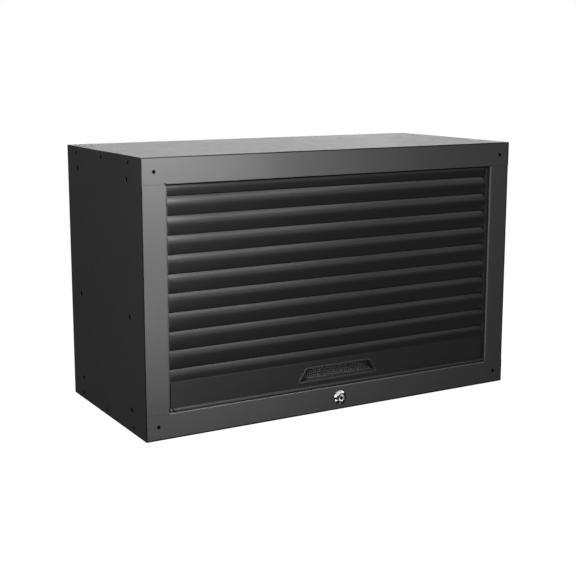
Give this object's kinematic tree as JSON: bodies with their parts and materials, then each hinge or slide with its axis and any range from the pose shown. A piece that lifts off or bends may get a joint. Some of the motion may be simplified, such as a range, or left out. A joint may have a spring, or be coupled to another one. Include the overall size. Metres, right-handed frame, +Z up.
{
  "type": "roll front tool cabinet",
  "caption": "Steel wall cabinet whose slatted roll front runs up in side tracks and back under the top, with a pull cup in the bottom bar and a key lock in the lower rail.",
  "frame": {"origin": "middle of the bottom face, half way between the front rail's face and the rear flanges' face", "axes": "+X to the right as seen from the front, +Y to the back, +Z up; the front face is at y = -0.155"},
  "size_m": [0.68, 0.3146, 0.423],
  "materials": {
    "case_paint": "dark grey powder coat, fine texture, satin",
    "slat_paint": "dark grey powder coat, satin",
    "bar_paint": "dark grey powder coat, semi matt",
    "inner_zinc": "dull zinc plate",
    "dark_track": "black powder coat, matt",
    "black_fixings": "black phosphate",
    "roller_nylon": "moulded black nylon",
    "cup_plastic": "moulded dark grey, fine square texture",
    "lock_chrome": "bright chrome",
    "plug_steel": "fine brushed",
    "seal_rubber": "matt black"
  },
  "bodies": {
    "cabinet": {"top_panel": "case_paint", "bottom_panel": "case_paint", "left_side_panel": "case_paint", "right_side_panel": "case_paint", "back_panel": "case_paint", "corner_rivets": "black_fixings", "left_side_rivets": "case_paint", "right_side_rivets": "case_paint", "back_rivets": "case_paint", "left_track": "dark_track", "right_track": "dark_track", "left_track_brackets": "inner_zinc", "right_track_brackets": "inner_zinc", "left_track_screws": "inner_zinc", "right_track_screws": "inner_zinc", "lock_housing": "lock_chrome", "lock_nut": "inner_zinc"},
    "shutter_bar": {"bottom_bar": "bar_paint", "grip_cup": "cup_plastic", "left_bar_shoe": "roller_nylon", "right_bar_shoe": "roller_nylon", "bar_seal": "seal_rubber"},
    "lock_core": {"lock_plug": "plug_steel", "lock_cam": "inner_zinc", "cam_screw": "inner_zinc"},
    "rollers_01": {"roller_pair_01": "roller_nylon"},
    "slat_01": {"slat_01": "slat_paint"},
    "rollers_02": {"roller_pair_02": "roller_nylon"},
    "slat_02": {"slat_02": "slat_paint"},
    "rollers_03": {"roller_pair_03": "roller_nylon"},
    "slat_03": {"slat_03": "slat_paint"},
    "rollers_04": {"roller_pair_04": "roller_nylon"},
    "slat_04": {"slat_04": "slat_paint"},
    "rollers_05": {"roller_pair_05": "roller_nylon"},
    "slat_05": {"slat_05": "slat_paint"},
    "rollers_06": {"roller_pair_06": "roller_nylon"},
    "slat_06": {"slat_06": "slat_paint"},
    "rollers_07": {"roller_pair_07": "roller_nylon"},
    "slat_07": {"slat_07": "slat_paint"},
    "rollers_08": {"roller_pair_08": "roller_nylon"},
    "slat_08": {"slat_08": "slat_paint"},
    "rollers_09": {"roller_pair_09": "roller_nylon"},
    "slat_09": {"slat_09": "slat_paint"},
    "rollers_10": {"roller_pair_10": "roller_nylon"},
    "slat_10": {"slat_10": "slat_paint"},
    "rollers_11": {"roller_pair_11": "roller_nylon"},
    "slat_11": {"slat_11": "slat_paint"}
  },
  "joints": [
    {"name": "shutter_slide", "type": "slide", "parent": "cabinet", "child": "shutter_bar", "axis": [0, 0, 1], "range_m": [0, 0.2838], "deforming": ["slat_01", "roller_pair_01", "slat_02", "roller_pair_02", "slat_03", "roller_pair_03", "slat_04", "roller_pair_04", "slat_05", "roller_pair_05", "slat_06", "roller_pair_06", "slat_07", "roller_pair_07", "slat_08", "roller_pair_08", "slat_09", "roller_pair_09", "slat_10", "roller_pair_10", "slat_11", "roller_pair_11"]},
    {"name": "lock_turn", "type": "hinge", "parent": "cabinet", "child": "lock_core", "pos_m": [0, -0.155, 0.02], "axis": [0, 1, 0], "range_deg": [0, 90]},
    {"name": "roller_run_01", "type": "slide", "parent": "cabinet", "child": "rollers_01", "axis": [0, 0.998, 0.0631], "range_m": [0, 0.27938]},
    {"name": "slat_turn_01", "type": "hinge", "parent": "rollers_01", "child": "slat_01", "pos_m": [0, -0.13415, 0.39588], "axis": [-1, 0, 0], "range_deg": [0, 76.42]},
    {"name": "roller_run_02", "type": "slide", "parent": "cabinet", "child": "rollers_02", "axis": [0, 0.9844, 0.1759], "range_m": [0, 0.26071]},
    {"name": "slat_turn_02", "type": "hinge", "parent": "rollers_02", "child": "slat_02", "pos_m": [0, -0.141, 0.3677], "axis": [-1, 0, 0], "range_deg": [0, 90.09]},
    {"name": "roller_run_03", "type": "slide", "parent": "cabinet", "child": "rollers_03", "axis": [0, 0.9499, 0.3125], "range_m": [0, 0.23962]},
    {"name": "slat_turn_03", "type": "hinge", "parent": "rollers_03", "child": "slat_03", "pos_m": [0, -0.141, 0.3387], "axis": [-1, 0, 0], "range_deg": [0, 90.09]},
    {"name": "roller_run_04", "type": "slide", "parent": "cabinet", "child": "rollers_04", "axis": [0, 0.886, 0.4636], "range_m": [0, 0.22413]},
    {"name": "slat_turn_04", "type": "hinge", "parent": "rollers_04", "child": "slat_04", "pos_m": [0, -0.141, 0.3097], "axis": [-1, 0, 0], "range_deg": [0, 90.09]},
    {"name": "roller_run_05", "type": "slide", "parent": "cabinet", "child": "rollers_05", "axis": [0, 0.787, 0.617], "range_m": [0, 0.21546]},
    {"name": "slat_turn_05", "type": "hinge", "parent": "rollers_05", "child": "slat_05", "pos_m": [0, -0.141, 0.2807], "axis": [-1, 0, 0], "range_deg": [0, 90.09]},
    {"name": "roller_run_06", "type": "slide", "parent": "cabinet", "child": "rollers_06", "axis": [0, 0.6554, 0.7553], "range_m": [0, 0.21443]},
    {"name": "slat_turn_06", "type": "hinge", "parent": "rollers_06", "child": "slat_06", "pos_m": [0, -0.141, 0.2517], "axis": [-1, 0, 0], "range_deg": [0, 90.09]},
    {"name": "roller_run_07", "type": "slide", "parent": "cabinet", "child": "rollers_07", "axis": [0, 0.5042, 0.8636], "range_m": [0, 0.22116]},
    {"name": "slat_turn_07", "type": "hinge", "parent": "rollers_07", "child": "slat_07", "pos_m": [0, -0.141, 0.2227], "axis": [-1, 0, 0], "range_deg": [0, 90.09]},
    {"name": "roller_run_08", "type": "slide", "parent": "cabinet", "child": "rollers_08", "axis": [0, 0.351, 0.9364], "range_m": [0, 0.23497]},
    {"name": "slat_turn_08", "type": "hinge", "parent": "rollers_08", "child": "slat_08", "pos_m": [0, -0.141, 0.1937], "axis": [-1, 0, 0], "range_deg": [0, 90.09]},
    {"name": "roller_run_09", "type": "slide", "parent": "cabinet", "child": "rollers_09", "axis": [0, 0.2098, 0.9777], "range_m": [0, 0.25472]},
    {"name": "slat_turn_09", "type": "hinge", "parent": "rollers_09", "child": "slat_09", "pos_m": [0, -0.141, 0.1647], "axis": [-1, 0, 0], "range_deg": [0, 83.94]},
    {"name": "roller_run_10", "type": "slide", "parent": "cabinet", "child": "rollers_10", "axis": [0, 0.089, 0.996], "range_m": [0, 0.27607]},
    {"name": "slat_turn_10", "type": "hinge", "parent": "rollers_10", "child": "slat_10", "pos_m": [0, -0.141, 0.1357], "axis": [-1, 0, 0], "range_deg": [0, 46.08]},
    {"name": "roller_run_11", "type": "slide", "parent": "cabinet", "child": "rollers_11", "axis": [0, 0.013, 0.9999], "range_m": [0, 0.28387]},
    {"name": "slat_turn_11", "type": "hinge", "parent": "rollers_11", "child": "slat_11", "pos_m": [0, -0.141, 0.1067], "axis": [-1, 0, 0], "range_deg": [0, 7.3]}
  ],
  "couplings": [
    {"joint": "roller_run_01", "follows": "shutter_slide", "ratio": 0.98344},
    {"joint": "slat_turn_01", "follows": "shutter_slide", "rad_per_m": 4.695},
    {"joint": "roller_run_02", "follows": "shutter_slide", "ratio": 0.91772},
    {"joint": "slat_turn_02", "follows": "shutter_slide", "rad_per_m": 5.5349},
    {"joint": "roller_run_03", "follows": "shutter_slide", "ratio": 0.84347},
    {"joint": "slat_turn_03", "follows": "shutter_slide", "rad_per_m": 5.5349},
    {"joint": "roller_run_04", "follows": "shutter_slide", "ratio": 0.78895},
    {"joint": "slat_turn_04", "follows": "shutter_slide", "rad_per_m": 5.5349},
    {"joint": "roller_run_05", "follows": "shutter_slide", "ratio": 0.75842},
    {"joint": "slat_turn_05", "follows": "shutter_slide", "rad_per_m": 5.5349},
    {"joint": "roller_run_06", "follows": "shutter_slide", "ratio": 0.75481},
    {"joint": "slat_turn_06", "follows": "shutter_slide", "rad_per_m": 5.5349},
    {"joint": "roller_run_07", "follows": "shutter_slide", "ratio": 0.77849},
    {"joint": "slat_turn_07", "follows": "shutter_slide", "rad_per_m": 5.5349},
    {"joint": "roller_run_08", "follows": "shutter_slide", "ratio": 0.82711},
    {"joint": "slat_turn_08", "follows": "shutter_slide", "rad_per_m": 5.5349},
    {"joint": "roller_run_09", "follows": "shutter_slide", "ratio": 0.89663},
    {"joint": "slat_turn_09", "follows": "shutter_slide", "rad_per_m": 5.1573},
    {"joint": "roller_run_10", "follows": "shutter_slide", "ratio": 0.97179},
    {"joint": "slat_turn_10", "follows": "shutter_slide", "rad_per_m": 2.831},
    {"joint": "roller_run_11", "follows": "shutter_slide", "ratio": 0.99926},
    {"joint": "slat_turn_11", "follows": "shutter_slide", "rad_per_m": 0.4487}
  ]
}
